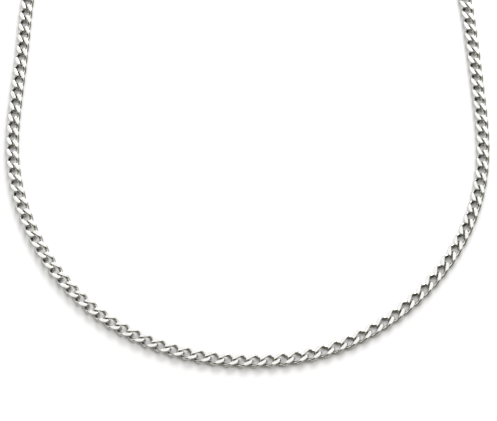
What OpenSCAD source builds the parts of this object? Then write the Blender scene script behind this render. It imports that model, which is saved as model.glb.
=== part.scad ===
// Curb chain necklace, lying in its closed loop on a flat surface. Every link is an oval of round
// wire, twisted about the line of the chain and then ground flat above and below, and each one holds
// its two neighbours. One plain barrel with an eye at either end closes the loop at the back.
// Millimetres. +Z is up with the surface at z = 0, and +Y runs from the front of the loop to the back.

/* [Chain] */
// Number of links
link_count = 123; // [119:1:127]
// Distance from one link to the next
pitch = 4.0; // [3.8:0.05:4.2]
// Thickness of the wire
wire_d = 1.12; // [1.06:0.01:1.18]
// Height of a link between its two ground faces
link_h = 1.9; // [1.8:0.05:2.05]
// Room across a link's opening, beside its neighbour's wire
room_across = 0.76; // [0.72:0.01:0.9]
// Room lengthways between a link's end and its neighbour's
room_along = 0.24; // [0.2:0.01:0.28]
// Turn of each end of a link about the line of the chain, in degrees
twist = 50; // [47:0.5:52]
// How the turn grows from a link's middle to its end, where 1 is evenly and less is sooner
twist_ease = 0.7; // [0.65:0.05:0.9]
// Shape of a link's outline, where 2 is an ellipse and more is squarer
squareness = 2.3; // [2.2:0.1:2.7]

/* [Fastening] */
// Length of the barrel
barrel_len = 13.4; // [11:0.1:15]
// Diameter of the barrel
barrel_d = 3.2; // [3:0.1:3.8]
// Width of the bevel around the barrel's ends
barrel_bevel = 0.4; // [0.2:0.1:0.7]
// Thickness of the eyes' wire
eye_wire_d = 1.0; // [0.9:0.02:1.06]
// Room in an eye on either side of the end link's wire
eye_room = 0.35; // [0.3:0.01:0.5]
// Depth that the eyes' wire is let into the barrel's ends
eye_sunk = 0.4; // [0.3:0.05:0.7]
// Tilt of each eye about the line of the chain, in degrees
eye_tilt = 40; // [38:1:48]
// Height of the eyes' centres above the middle of the links
eye_lift = 0.1; // [0:0.01:0.15]
// Room lengthways between an eye and the end link's wire
eye_clear = 0.3; // [0.25:0.01:0.4]

/* [Hidden] */

// The loop lies as it fell on the surface: a closed curve drawn by these points, counter-clockwise
// from the middle of the back. Only its shape counts, since it takes the length of the whole chain.
route_points = [
    [0, 87.5], [-21, 85], [-41, 76.5], [-57.75, 62.75], [-67.5, 43.25], [-67.75, 21.75], [-69.5, 1],
    [-70.75, -20.25], [-65.75, -40.75], [-55.75, -59.75], [-40.5, -75.25], [-21, -84.75], [0, -88],
    [21.5, -85.5], [40.5, -75.5], [56, -60.5], [66.75, -41.25], [71.25, -20.5], [70, 0.75],
    [68.5, 21.25], [66.75, 43.25], [58.25, 62.25], [41, 76.5], [21.5, 85]
];
// Where along the loop the middle of the fastening lies, from the middle of the back
clasp_at = -1.6;
// Curve steps between two of the route's points
route_steps = 16;
// Corners around a link's outline and around its wire
link_sides = 12;
wire_sides = 5;
// Fineness of the outline that the link's corners are spread along
outline_steps = 180;
steel = "silver";

wire_r = wire_d / 2;
half_h = link_h / 2;
// Half sizes of a link's outline, at the middle of its wire
oval_a = (pitch + wire_d + room_along) / 2;
oval_b = (2 * wire_d + room_across) / 2;
eye_wire_r = eye_wire_d / 2;
eye_r = wire_r + eye_room + eye_wire_r;
eye_at = barrel_len / 2 - eye_sunk + eye_wire_r + eye_r;
// The fastening takes the place of this much chain, so that the end of its eyes' wire lies inside
// the end links' wire
fastening_len = 2 * (eye_at + eye_r - eye_wire_r - eye_clear - wire_r + oval_a - pitch / 2);
loop_len = link_count * pitch + fastening_len;

// The route: a cubic curve through the points' neighbourhood, as one closed list of places
function blend(a, b, c, d, t) =
    (pow(1 - t, 3) * a + (3 * pow(t, 3) - 6 * t * t + 4) * b
    + (1 + 3 * t + 3 * t * t - 3 * pow(t, 3)) * c + pow(t, 3) * d) / 6;
corner_count = len(route_points);
function corner(k) = route_points[(k + corner_count) % corner_count];
drawn = [for (k = [0 : corner_count - 1], j = [0 : route_steps - 1])
    blend(corner(k - 1), corner(k), corner(k + 1), corner(k + 2), j / route_steps)];
drawn_count = len(drawn);
travelled = [for (i = 0, s = 0; i <= drawn_count;
    s = s + norm(drawn[(i + 1) % drawn_count] - drawn[i % drawn_count]), i = i + 1) s];
route_scale = loop_len / travelled[drawn_count];
route_x = [for (i = [0 : drawn_count]) [travelled[i], drawn[i % drawn_count].x] * route_scale];
route_y = [for (i = [0 : drawn_count]) [travelled[i], drawn[i % drawn_count].y] * route_scale];

// A place on the route, and the heading of the stretch of the route between two places
function place(s) = let (q = (s % loop_len + loop_len) % loop_len) [lookup(q, route_x), lookup(q, route_y)];
function heading(s, span) = let (d = place(s + span / 2) - place(s - span / 2)) atan2(d.y, d.x);
function turned(p, angle) = [p.x * cos(angle) - p.y * sin(angle), p.x * sin(angle) + p.y * cos(angle)];

// A link's outline. The corners are spread evenly around it, and lie a little outside it, so that
// the straight sides between them touch it.
function signed_power(v, e) = sign(v) * pow(abs(v), e);
outline = [for (i = [0 : outline_steps]) let (t = 360 * i / outline_steps)
    [oval_a * signed_power(cos(t), 2 / squareness), oval_b * signed_power(sin(t), 2 / squareness)]];
outline_len = [for (i = 0, s = 0; i <= outline_steps;
    s = s + norm(outline[min(i + 1, outline_steps)] - outline[i]), i = i + 1) s];
outline_x = [for (i = [0 : outline_steps]) [outline_len[i], outline[i].x]];
outline_y = [for (i = [0 : outline_steps]) [outline_len[i], outline[i].y]];
function outline_at(i) = let (s = (i + 0.5) / link_sides * outline_len[outline_steps])
    [lookup(s, outline_x), lookup(s, outline_y)] / cos(180 / link_sides);

// The outline twisted about the line of the chain, and the wire's corners around each of its points
function twist_at(x) = -twist * sign(x) * pow(abs(x) / oval_a, twist_ease);
function wire_centre(i) = let (p = outline_at((i + link_sides) % link_sides), a = twist_at(p.x))
    [p.x, p.y * cos(a), p.y * sin(a)];
function unit(v) = v / norm(v);
function ground(p) = [p.x, p.y, max(-half_h, min(half_h, p.z))];
link_points = [for (i = [0 : link_sides - 1])
    let (c = wire_centre(i), a = twist_at(c.x), along = unit(wire_centre(i + 1) - wire_centre(i - 1)),
        up = [0, -sin(a), cos(a)], high = unit(up - (up * along) * along), side = cross(along, high))
    for (j = [0 : wire_sides - 1]) let (v = 360 * (j + 0.5) / wire_sides)
        ground(c + wire_r * (cos(v) * side + sin(v) * high))];
link_faces = [for (i = [0 : link_sides - 1], j = [0 : wire_sides - 1])
    let (i2 = (i + 1) % link_sides, j2 = (j + 1) % wire_sides, a = i * wire_sides + j,
        b = i2 * wire_sides + j, c = i2 * wire_sides + j2, d = i * wire_sides + j2)
    for (face = [[a, c, b], [a, d, c]]) face];

// Where the links and the fastening lie
function link_s(i) = clasp_at + fastening_len / 2 + (i + 0.5) * pitch;
left_count = ceil(link_count / 2);
clasp_ends = [place(clasp_at - fastening_len / 2), place(clasp_at + fastening_len / 2)];

// The origin is in the middle under the whole loop
reach = [for (i = [0 : link_count - 1]) let (c = place(link_s(i)), a = heading(link_s(i), pitch))
    for (p = link_points) c + turned(p, a)];
middle = [
    (min([for (p = reach) p.x]) + max([for (p = reach) p.x])) / 2,
    (min([for (p = reach) p.y]) + max([for (p = reach) p.y])) / 2
];

// One stretch of chain: loose links, each a little clear of the ones that it holds
module chain(first, count) {
    for (i = [first : first + count - 1])
        translate(concat(place(link_s(i)) - middle, half_h))
            rotate(heading(link_s(i), pitch))
                polyhedron(points = link_points, faces = link_faces);
}

// The chain from the fastening down the left side to the middle of the front
module chain_left() {
    color(steel) chain(0, left_count);
}

// The chain from the middle of the front up the right side to the fastening
module chain_right() {
    color(steel) chain(left_count, link_count - left_count);
}

// The barrel, a turned rod with bevelled ends, lying along X on the surface
module barrel() {
    r = barrel_d / 2;
    h = barrel_len / 2;
    translate([0, 0, r]) rotate([0, 90, 0]) rotate_extrude($fn = 64)
        polygon([[0, -h], [r - barrel_bevel, -h], [r, barrel_bevel - h], [r, h - barrel_bevel],
            [r - barrel_bevel, h], [0, h]]);
}

// An eye at one end of the barrel: a wire ring that follows the tilt of a link's end, ground flat
// where it would reach below the surface
module eye(end) {
    under = 2 * (eye_r + eye_wire_d);
    difference() {
        translate([end * eye_at, 0, half_h + eye_lift]) rotate([-end * eye_tilt, 0, 0])
            rotate_extrude($fn = 64) translate([eye_r, 0]) circle(eye_wire_r, $fn = 32);
        translate([end * eye_at - under / 2, -under / 2, -under]) cube(under);
    }
}

// The fastening: barrel and eyes in one piece, along the line between the chain's two ends
module clasp() {
    span = clasp_ends[1] - clasp_ends[0];
    color(steel)
        translate(concat((clasp_ends[0] + clasp_ends[1]) / 2 - middle, 0))
            rotate(atan2(span.y, span.x)) {
                barrel();
                eye(-1);
                eye(1);
            }
}

chain_left();
chain_right();
clasp();
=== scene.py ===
import math

import bpy
import numpy as np
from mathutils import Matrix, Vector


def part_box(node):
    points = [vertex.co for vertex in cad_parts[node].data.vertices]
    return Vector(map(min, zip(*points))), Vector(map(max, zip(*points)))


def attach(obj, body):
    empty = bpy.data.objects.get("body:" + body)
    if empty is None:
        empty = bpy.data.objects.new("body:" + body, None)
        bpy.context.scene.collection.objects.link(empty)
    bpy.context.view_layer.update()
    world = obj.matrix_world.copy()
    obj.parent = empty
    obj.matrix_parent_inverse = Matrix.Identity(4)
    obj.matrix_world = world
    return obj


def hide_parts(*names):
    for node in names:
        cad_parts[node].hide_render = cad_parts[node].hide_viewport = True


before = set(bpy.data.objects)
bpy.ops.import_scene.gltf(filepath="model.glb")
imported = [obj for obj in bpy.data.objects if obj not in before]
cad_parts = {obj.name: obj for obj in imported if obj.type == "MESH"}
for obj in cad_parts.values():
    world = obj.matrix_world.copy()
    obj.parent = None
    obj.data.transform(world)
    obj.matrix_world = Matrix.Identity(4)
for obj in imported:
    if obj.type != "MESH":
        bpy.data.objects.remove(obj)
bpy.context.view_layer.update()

# The curb chain: ovals of round steel wire, each threaded through its neighbours and twisted about
# the line of the chain so that it lies down. The whole chain is then ground flat above and below,
# which leaves a bright almond on every strand, and polished in a barrel until the edges shine.
LINK_COUNT = 123
PITCH = 0.004
WIRE_R = 0.00056
HALF_THICKNESS = 0.00095
ROOM_ACROSS = 0.00076
ROOM_ALONG = 0.00024
TWIST = math.radians(50)
TWIST_EASE = 0.7
SQUARENESS = 2.3
OUTLINE_STEPS = 1440
RINGS = 64
ARC_STEPS = 5

# A ground face's edge is eased by this length, but by no more than this share of the face's half
# angle, and a face with a smaller half angle than the last one counts as round wire
EDGE = 0.00012
EDGE_SHARE = 0.45
LEAST_GROUND = 0.02

# The loop as it lies, in millimetres, counter-clockwise from the middle of the back, then the
# length of it that the fastening takes, and where along it the fastening's middle is
ROUTE = np.array([
    (0, 87.5), (-21, 85), (-41, 76.5), (-57.75, 62.75), (-67.5, 43.25), (-67.75, 21.75), (-69.5, 1),
    (-70.75, -20.25), (-65.75, -40.75), (-55.75, -59.75), (-40.5, -75.25), (-21, -84.75), (0, -88),
    (21.5, -85.5), (40.5, -75.5), (56, -60.5), (66.75, -41.25), (71.25, -20.5), (70, 0.75),
    (68.5, 21.25), (66.75, 43.25), (58.25, 62.25), (41, 76.5), (21.5, 85),
]) / 1000
ROUTE_STEPS = 16
FASTENING_LEN = 0.01788
FASTENING_AT = -0.0016


def length_along(points):
    """The distance travelled along a row of points, up to each of them."""
    return np.concatenate([[0], np.cumsum(np.linalg.norm(np.diff(points, axis=0), axis=1))])


def closed_route(points, length):
    """The loop as it lies: a closed uniform cubic B-spline, brought to the chain's length.

    Between corners b and c, with their neighbours a and d, the place at share t is
    ((1-t)^3 a + (3t^3 - 6t^2 + 4) b + (-3t^3 + 3t^2 + 3t + 1) c + t^3 d) / 6.
    Gives the distance travelled at each step and the place there.
    """
    t = (np.arange(ROUTE_STEPS) / ROUTE_STEPS)[None, :, None]
    a, b, c, d = (np.roll(points, shift, axis=0)[:, None] for shift in (1, 0, -1, -2))
    steps = ((1 - t) ** 3 * a + (3 * t**3 - 6 * t**2 + 4) * b
             + (1 + 3 * t + 3 * t**2 - 3 * t**3) * c + t**3 * d) / 6
    places = steps.reshape(-1, 2)
    places = np.vstack([places, places[:1]])
    travelled = length_along(places)
    scale = length / travelled[-1]
    return travelled * scale, places * scale


loop_len = LINK_COUNT * PITCH + FASTENING_LEN
travelled, places = closed_route(ROUTE, loop_len)


def route_at(s):
    """The place at each distance along the loop, read off between the two nearest steps."""
    s = np.mod(s, loop_len)
    return np.stack([np.interp(s, travelled, places[:, 0]), np.interp(s, travelled, places[:, 1])], -1)


# The route lies in the frame where the middle of the fastening's box says
fastening_ends = route_at(FASTENING_AT + np.array([-0.5, 0.5]) * FASTENING_LEN)
low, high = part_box("clasp")
lie = np.array(((low + high) / 2)[:2]) - fastening_ends.mean(axis=0)


def unit(v):
    """Each row's direction, which is the row over its length."""
    return v / np.linalg.norm(v, axis=-1, keepdims=True)


def turned(v, angle):
    """Rows turned about Z: x' = x cos - y sin and y' = x sin + y cos."""
    return np.stack([v[..., 0] * np.cos(angle) - v[..., 1] * np.sin(angle),
                     v[..., 0] * np.sin(angle) + v[..., 1] * np.cos(angle),
                     v[..., 2] + 0 * angle], -1)


def curb_link():
    """One link at the origin, its chain line along X, as a grid of rings by corners.

    The outline is x = A cos(t)^(2/n), y = B sin(t)^(2/n), walked in even steps. It turns about X by
    -twist sign(x) |x/A|^ease. Around each point stands a circle of the wire, across the outline.
    Where the circle passes the grinding height it is cut by a chord, and the corner between
    chord and circle is eased by the curve (inner + 2 corner + outer)/4.
    Gives the points, their normals, how far each one belongs to a ground face and how far it faces
    the link's opening, which is the share of its normal that points back at the link's middle.
    """
    half_len = PITCH / 2 + WIRE_R + ROOM_ALONG / 2
    half_wide = 2 * WIRE_R + ROOM_ACROSS / 2
    t = np.linspace(0, 2 * np.pi, OUTLINE_STEPS + 1)
    drawn = np.stack([half_len * np.sign(np.cos(t)) * np.abs(np.cos(t)) ** (2 / SQUARENESS),
                      half_wide * np.sign(np.sin(t)) * np.abs(np.sin(t)) ** (2 / SQUARENESS)], 1)
    gone = length_along(drawn)
    even = (np.arange(RINGS) + 0.5) / RINGS * gone[-1]
    x, y = np.interp(even, gone, drawn[:, 0]), np.interp(even, gone, drawn[:, 1])

    turn = -TWIST * np.sign(x) * np.abs(x / half_len) ** TWIST_EASE
    centre = np.stack([x, y * np.cos(turn), y * np.sin(turn)], 1)
    along = unit(np.roll(centre, -1, axis=0) - np.roll(centre, 1, axis=0))
    up = np.stack([0 * x, -np.sin(turn), np.cos(turn)], 1)
    upper = unit(up - (up * along).sum(1, keepdims=True) * along)
    side = np.cross(along, upper)

    rise = WIRE_R * np.hypot(side[:, 2], upper[:, 2])
    top = np.arctan2(upper[:, 2], side[:, 2])
    top_half = np.arccos(np.clip((HALF_THICKNESS - centre[:, 2]) / rise, -1, 1))
    low_half = np.arccos(np.clip((HALF_THICKNESS + centre[:, 2]) / rise, -1, 1))

    def around(angle):
        """The way out from the wire's middle at an angle around it."""
        return np.cos(angle)[:, None] * side + np.sin(angle)[:, None] * upper

    def eased_by(half):
        return np.minimum(EDGE / WIRE_R, EDGE_SHARE * half)

    columns, normals, ground = [], [], []
    sides = (1, top, top_half, low_half), (-1, top + np.pi, low_half, top_half)
    for face, middle, half, next_half in sides:
        facing = np.tile((0.0, 0.0, face), (RINGS, 1))
        ease = eased_by(half)
        ends = around(middle - half), around(middle + half)
        # Where the circle stays within the grinding height there is no chord, and the wire's side
        # gives its direction
        chord = unit(ends[1] - ends[0] + 1e-9 * side)
        for sign, corner in zip((-1, 1), ends):
            inner = corner - sign * ease[:, None] * chord
            outer = around(middle + sign * (half + ease))
            eased = (inner + 2 * corner + outer) / 4
            trio = [(outer, outer, 0), (eased, unit(facing + outer), 0.5), (inner, facing, 1)]
            for place, normal, share in trio[::-sign]:
                columns.append(place)
                normals.append(normal)
                ground.append(np.where(half > LEAST_GROUND, share, 0))
        first = middle + half + ease
        last = middle + np.pi - next_half - eased_by(next_half)
        for step in np.arange(1, ARC_STEPS + 1) / (ARC_STEPS + 1):
            arc = around(first + step * (last - first))
            columns.append(arc)
            normals.append(arc)
            ground.append(np.zeros(RINGS))
    points = centre[:, None] + WIRE_R * np.stack(columns, 1)
    normals = unit(np.stack(normals, 1))
    inside = np.clip(-(normals[..., :2] * unit(centre[:, None, :2])).sum(-1), 0, 1)
    return points, normals, np.stack(ground, 1), inside


def ring_faces(rings, corners, copies=1):
    """The quads between neighbouring rings and corners, both closed on themselves, for each copy."""
    i, j = np.meshgrid(np.arange(rings), np.arange(corners), indexing="ij")
    i2, j2 = (i + 1) % rings, (j + 1) % corners
    quads = np.stack([i * corners + j, i2 * corners + j, i2 * corners + j2, i * corners + j2], -1)
    starts = (np.arange(copies) * rings * corners)[:, None, None]
    return (quads.reshape(1, -1, 4) + starts).reshape(-1, 4)


def new_piece(name, points, faces, normals=None):
    """A mesh object from its points and faces, with smooth shading and, where given, its own normals."""
    mesh = bpy.data.meshes.new(name)
    mesh.from_pydata(points.tolist(), [], faces)
    mesh.shade_smooth()
    if normals is not None:
        mesh.normals_split_custom_set_from_vertices(normals.tolist())
    piece = bpy.data.objects.new(name, mesh)
    bpy.context.scene.collection.objects.link(piece)
    return piece


# Each link is a little more or less worn than the one before it, by steps that don't repeat
WEAR_STEP = 0.618034


def curb_chain(name, first, count):
    """Links from the first on: each stands at its place on the loop, turned to the loop's heading."""
    points, normals, ground, inside = curb_link()
    number = first + np.arange(count)
    s = FASTENING_AT + FASTENING_LEN / 2 + (number + 0.5) * PITCH
    way = route_at(s + PITCH / 2) - route_at(s - PITCH / 2)
    heading = np.arctan2(way[:, 1], way[:, 0])[:, None, None]
    stood = turned(points[None], heading)
    stood[..., :2] += (route_at(s) + lie)[:, None, None]
    stood[..., 2] += HALF_THICKNESS
    piece = new_piece(name, stood.reshape(-1, 3), ring_faces(*points.shape[:2], count).tolist(),
                      turned(normals[None], heading).reshape(-1, 3))
    marks = {
        "ground": np.tile(ground.reshape(-1), count),
        "inside": np.tile(inside.reshape(-1), count),
        "across": np.tile(points[..., 1].reshape(-1), count),
        "along": np.tile(points[..., 0].reshape(-1), count) + np.repeat(s, ground.size),
        "tone": np.repeat(np.mod(number * WEAR_STEP, 1), ground.size),
    }
    for mark, values in marks.items():
        attribute = piece.data.attributes.new(mark, "FLOAT", "POINT")
        attribute.data.foreach_set("value", values.astype(np.float32))
    return piece


# The steel's darker and lighter tone, and a dark olive painted shade for the walls that face a link's
# opening
STEEL_LOW = (0.475, 0.473, 0.46, 1)
STEEL_HIGH = (0.505, 0.503, 0.49, 1)
STEEL_PAINTED_SHADE = (0.12, 0.108, 0.03, 1)
PAINTED_SHADE_SHARE = 0.5
LINK_CLOUDS = 700
GRIND_LINES = 9000
GRIND_STRETCH = 0.06
GRIND_DEPTH = 0.00002


def noise(tree, at, scale, detail):
    """Soft random clouds, from 0 to 1, read at the given place."""
    node = tree.nodes.new("ShaderNodeTexNoise")
    node.inputs["Scale"].default_value = scale
    node.inputs["Detail"].default_value = detail
    tree.links.new(at, node.inputs["Vector"])
    return node.outputs["Fac"]


def spread(tree, share, least, most):
    """A value that runs from the least to the most as the share runs from 0 to 1."""
    node = tree.nodes.new("ShaderNodeMapRange")
    node.inputs["To Min"].default_value = least
    node.inputs["To Max"].default_value = most
    tree.links.new(share, node.inputs["Value"])
    return node.outputs["Result"]


def relief(tree, height, strength, depth):
    """The height stands out of the surface as fine relief."""
    node = tree.nodes.new("ShaderNodeBump")
    node.inputs["Strength"].default_value = strength
    node.inputs["Distance"].default_value = depth
    tree.links.new(height, node.inputs["Height"])
    tree.links.new(node.outputs["Normal"], tree.nodes["Principled BSDF"].inputs["Normal"])


def bright_steel(name, cloud_scale, low_at, high_at):
    """Polished steel that turns from its darker to its lighter tone between two shares of soft clouds.

    Gives the material, the place on the object, the clouds and the colour that they make.
    """
    material = bpy.data.materials.new(name)
    material.use_nodes = True
    tree = material.node_tree
    tree.nodes["Principled BSDF"].inputs["Metallic"].default_value = 1.0
    place = tree.nodes.new("ShaderNodeTexCoord").outputs["Object"]
    cloud = noise(tree, place, cloud_scale, 3)
    ramp = tree.nodes.new("ShaderNodeValToRGB")
    ramp.color_ramp.elements[0].position = low_at
    ramp.color_ramp.elements[0].color = STEEL_LOW
    ramp.color_ramp.elements[1].position = high_at
    ramp.color_ramp.elements[1].color = STEEL_HIGH
    tree.links.new(cloud, ramp.inputs["Fac"])
    return material, place, cloud, ramp.outputs["Color"]


def polished_links():
    """Bright steel: the round wire is barrel polished, the ground faces keep faint lines across them.

    The steel's colour turns towards a dark olive where it faces a link's opening: painted shade for the
    opening's walls.
    The faint lines are clouds read at (distance along the chain, a little of the distance across it).
    Roughness is the ground face's or the round wire's, times the clouds, plus each link's own wear.
    """
    material, _, cloud, steel = bright_steel("polished_links", LINK_CLOUDS, 0.3, 0.7)
    tree = material.node_tree
    shader = tree.nodes["Principled BSDF"]

    def mark(name):
        node = tree.nodes.new("ShaderNodeAttribute")
        node.attribute_name = name
        return node.outputs["Fac"]

    # Painted shade: the colour is mixed towards the dark olive as far as the steel faces the link's
    # opening
    painted_shade = tree.nodes.new("ShaderNodeMix")
    painted_shade.data_type = "RGBA"
    painted_shade.inputs["B"].default_value = STEEL_PAINTED_SHADE
    tree.links.new(spread(tree, mark("inside"), 0, PAINTED_SHADE_SHARE), painted_shade.inputs["Factor"])
    tree.links.new(steel, painted_shade.inputs["A"])
    tree.links.new(painted_shade.outputs["Result"], shader.inputs["Base Color"])

    worn = tree.nodes.new("ShaderNodeMath")
    worn.operation = "MULTIPLY_ADD"
    tree.links.new(spread(tree, cloud, 0.8, 1.2), worn.inputs[0])
    tree.links.new(spread(tree, mark("ground"), 0.10, 0.16), worn.inputs[1])
    tree.links.new(spread(tree, mark("tone"), 0, 0.05), worn.inputs[2])
    tree.links.new(worn.outputs[0], shader.inputs["Roughness"])

    stretched = tree.nodes.new("ShaderNodeMath")
    stretched.operation = "MULTIPLY"
    stretched.inputs[1].default_value = GRIND_STRETCH
    tree.links.new(mark("across"), stretched.inputs[0])
    lines_at = tree.nodes.new("ShaderNodeCombineXYZ")
    tree.links.new(mark("along"), lines_at.inputs["X"])
    tree.links.new(stretched.outputs[0], lines_at.inputs["Y"])
    depth = tree.nodes.new("ShaderNodeMath")
    depth.operation = "MULTIPLY"
    tree.links.new(noise(tree, lines_at.outputs[0], GRIND_LINES, 2), depth.inputs[0])
    tree.links.new(mark("ground"), depth.inputs[1])
    relief(tree, depth.outputs[0], 0.15, GRIND_DEPTH)
    return material


link_steel = polished_links()
left_count = math.ceil(LINK_COUNT / 2)
stretches = (("chain_left", 0, left_count), ("chain_right", left_count, LINK_COUNT - left_count))
for name, first, count in stretches:
    chain = curb_chain(name + "_links", first, count)
    chain.data.materials.append(link_steel)
    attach(chain, "root")
    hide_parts(name)

# The fastening: a turned steel barrel that closes the loop at the back, with a wire eye soldered into
# each end. It is one plain piece. The eyes are tilted as the links' ends are, and the chain's end
# links are closed through them.
BARREL_LEN = 0.0134
BARREL_R = 0.0016
BARREL_BEVEL = 0.0004
BARREL_TIP_R = 1e-6
BARREL_SIDES = 72
BEVEL_STEPS = 7
SEAM_AT = 0.00248
SEAM_HALF_WIDTH = 0.00012
SEAM_DEPTH = 0.00008
EYE_WIRE_R = 0.0005
EYE_ROOM = 0.00035
EYE_SUNK = 0.0004
EYE_TILT = math.radians(40)
EYE_LIFT = 0.0001
EYE_RINGS = 64
EYE_SIDES = 24
BARREL_CLOUDS = 600
TURNING_LINES = 3000
TURNING_DEPTH = 0.00001


def turned_barrel():
    """The barrel along X: a radius for each place along it, carried around the axis.

    Each end starts flat from the axis and follows a quarter round of the bevel out to the full
    radius. A shallow seam runs around the barrel nearer to one end.
    """
    quarter = np.linspace(0, np.pi / 2, BEVEL_STEPS)
    end = np.stack([BARREL_LEN / 2 - BARREL_BEVEL * (1 - np.cos(quarter)),
                    BARREL_R - BARREL_BEVEL * (1 - np.sin(quarter))], 1)
    end = np.vstack([[(BARREL_LEN / 2, BARREL_TIP_R)], end])
    seam = np.stack([SEAM_AT + SEAM_HALF_WIDTH * np.array([1, 1 / 3, -1 / 3, -1]),
                     BARREL_R - SEAM_DEPTH * np.array([0, 1, 1, 0])], 1)
    profile = np.vstack([end, seam, (end * (-1, 1))[::-1]])
    angle = np.linspace(0, 2 * np.pi, BARREL_SIDES, endpoint=False)
    x = np.broadcast_to(profile[:, :1], (len(profile), BARREL_SIDES))
    points = np.stack([x, -profile[:, 1:] * np.sin(angle), BARREL_R + profile[:, 1:] * np.cos(angle)], -1)
    last_row = (len(profile) - 1) * BARREL_SIDES
    faces = ring_faces(len(profile), BARREL_SIDES)[:last_row].tolist()
    faces += [list(range(BARREL_SIDES))[::-1], list(range(last_row, last_row + BARREL_SIDES))]
    return points.reshape(-1, 3), faces


def wire_eye(end):
    """A ring of wire: a circle carried around a circle and tilted about X.

    Its lowest part is ground flat at the surface.
    """
    eye_r = WIRE_R + EYE_ROOM + EYE_WIRE_R
    eye_at = BARREL_LEN / 2 - EYE_SUNK + EYE_WIRE_R + eye_r
    u, v = np.meshgrid(np.linspace(0, 2 * np.pi, EYE_RINGS, endpoint=False),
                       np.linspace(0, 2 * np.pi, EYE_SIDES, endpoint=False), indexing="ij")
    out = eye_r + EYE_WIRE_R * np.cos(v)
    x, y, z = out * np.cos(u), out * np.sin(u), EYE_WIRE_R * np.sin(v)
    tilt = -end * EYE_TILT
    height = y * np.sin(tilt) + z * np.cos(tilt) + HALF_THICKNESS + EYE_LIFT
    points = np.stack([x + end * eye_at, y * np.cos(tilt) - z * np.sin(tilt), np.maximum(0, height)], -1)
    return points.reshape(-1, 3), ring_faces(EYE_RINGS, EYE_SIDES)


def plain_fastening():
    """Barrel and eyes as one mesh, turned to the line between the chain's two ends."""
    points, faces = turned_barrel()
    for end in (-1, 1):
        eye, eye_faces = wire_eye(end)
        faces += (eye_faces + len(points)).tolist()
        points = np.vstack([points, eye])
    way = fastening_ends[1] - fastening_ends[0]
    points = turned(points, math.atan2(way[1], way[0]))
    points[:, :2] += fastening_ends.mean(axis=0) + lie
    return new_piece("fastening", points, faces)


def polished_clasp():
    """The same bright steel, with the faint rings that turning leaves along the barrel."""
    material, place, cloud, steel = bright_steel("polished_clasp", BARREL_CLOUDS, 0, 1)
    tree = material.node_tree
    shader = tree.nodes["Principled BSDF"]
    tree.links.new(steel, shader.inputs["Base Color"])
    tree.links.new(spread(tree, cloud, 0.10, 0.20), shader.inputs["Roughness"])
    turning = tree.nodes.new("ShaderNodeTexWave")
    turning.bands_direction = "X"
    turning.inputs["Scale"].default_value = TURNING_LINES
    turning.inputs["Distortion"].default_value = 1.0
    tree.links.new(place, turning.inputs["Vector"])
    relief(tree, turning.outputs["Fac"], 0.08, TURNING_DEPTH)
    return material


fastening = plain_fastening()
fastening.data.materials.append(polished_clasp())
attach(fastening, "root")
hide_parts("clasp")

# The surface that the necklace lies on: a plain sheet of white paper, far wider than the view. Its
# faint blue makes up for the warm tint of the room's dim side, so that the shadows stay grey.
SHEET_SIZE = 6
SHEET_COLOUR = (0.68, 0.68, 0.688, 1)
bpy.ops.mesh.primitive_plane_add(size=SHEET_SIZE, location=(0, 0, 0))
sheet = bpy.context.object
sheet.name = "white_sheet"
paper = bpy.data.materials.new("white_sheet")
paper.use_nodes = True
paper_shader = paper.node_tree.nodes["Principled BSDF"]
paper_shader.inputs["Base Color"].default_value = SHEET_COLOUR
paper_shader.inputs["Roughness"].default_value = 0.8
sheet.data.materials.append(paper)

# The light: a white room overhead and behind the necklace, which turns to a dim olive one on the
# viewer's side, and a soft lamp behind the necklace and to its right, whose shadows fall towards
# the viewer and to the left
ROOM_BRIGHT = 1.85
ROOM_SIDE = (-0.061, 0.585, 0.809)
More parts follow.
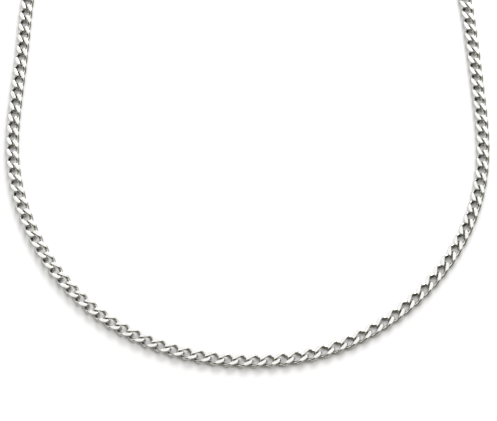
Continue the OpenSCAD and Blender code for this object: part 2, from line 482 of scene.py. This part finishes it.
# The room's colours, by how far a direction leans towards its bright side, from -1 to 1
ROOM_STEPS = ((-0.2, (0.028, 0.024, 0.003)), (0.38, (0.1, 0.091, 0.02)), (0.5, (1, 1, 1)))
LAMP_PLACE = (0.23, 0.75, 0.55)
LAMP_SIZE = 0.45
LAMP_WATTS = 7
world = bpy.data.worlds.new("studio")
bpy.context.scene.world = world
world.use_nodes = True
room, room_links = world.node_tree.nodes, world.node_tree.links
way = room.new("ShaderNodeTexCoord")
lean = room.new("ShaderNodeVectorMath")
lean.operation = "DOT_PRODUCT"
lean.inputs[1].default_value = ROOM_SIDE
room_links.new(way.outputs["Generated"], lean.inputs[0])
share = room.new("ShaderNodeMath")
share.operation = "MULTIPLY_ADD"
share.inputs[1].default_value = 0.5
share.inputs[2].default_value = 0.5
room_links.new(lean.outputs["Value"], share.inputs[0])
shade = room.new("ShaderNodeValToRGB")
shade.color_ramp.elements.new(0.5)
for stop, (leaning, tint) in zip(shade.color_ramp.elements, ROOM_STEPS):
    stop.position = leaning / 2 + 0.5
    stop.color = tint + (1,)
room_links.new(share.outputs[0], shade.inputs["Fac"])
room_links.new(shade.outputs["Color"], room["Background"].inputs["Color"])
room["Background"].inputs["Strength"].default_value = ROOM_BRIGHT

lamp_data = bpy.data.lights.new("soft_lamp", "AREA")
lamp_data.size = LAMP_SIZE
lamp_data.energy = LAMP_WATTS
lamp = bpy.data.objects.new("soft_lamp", lamp_data)
bpy.context.scene.collection.objects.link(lamp)
lamp.location = LAMP_PLACE
lamp.rotation_euler = (-lamp.location).to_track_quat("-Z", "Y").to_euler()

# The camera stands in front of the loop and looks down on it with a long lens, whose focal length
# is given in pixels of the picture
VIEW_DOWN = math.radians(61.5)
PICTURE_WIDTH = 497
FOCAL_PIXELS = 3000
SENSOR_WIDTH = 36
CAMERA_PLACE = (0.000548, -0.46041, 0.77932)
camera_data = bpy.data.cameras.new("camera")
camera_data.sensor_width = SENSOR_WIDTH
camera_data.lens = FOCAL_PIXELS / PICTURE_WIDTH * SENSOR_WIDTH
camera_data.clip_start = 0.01
camera = bpy.data.objects.new("camera", camera_data)
bpy.context.scene.collection.objects.link(camera)
camera.location = (CAMERA_PLACE[0] + lie[0], CAMERA_PLACE[1] + lie[1], CAMERA_PLACE[2])
camera.rotation_euler = (math.pi / 2 - VIEW_DOWN, 0, 0)
bpy.context.scene.camera = camera

bpy.context.scene.view_settings.view_transform = "Standard"
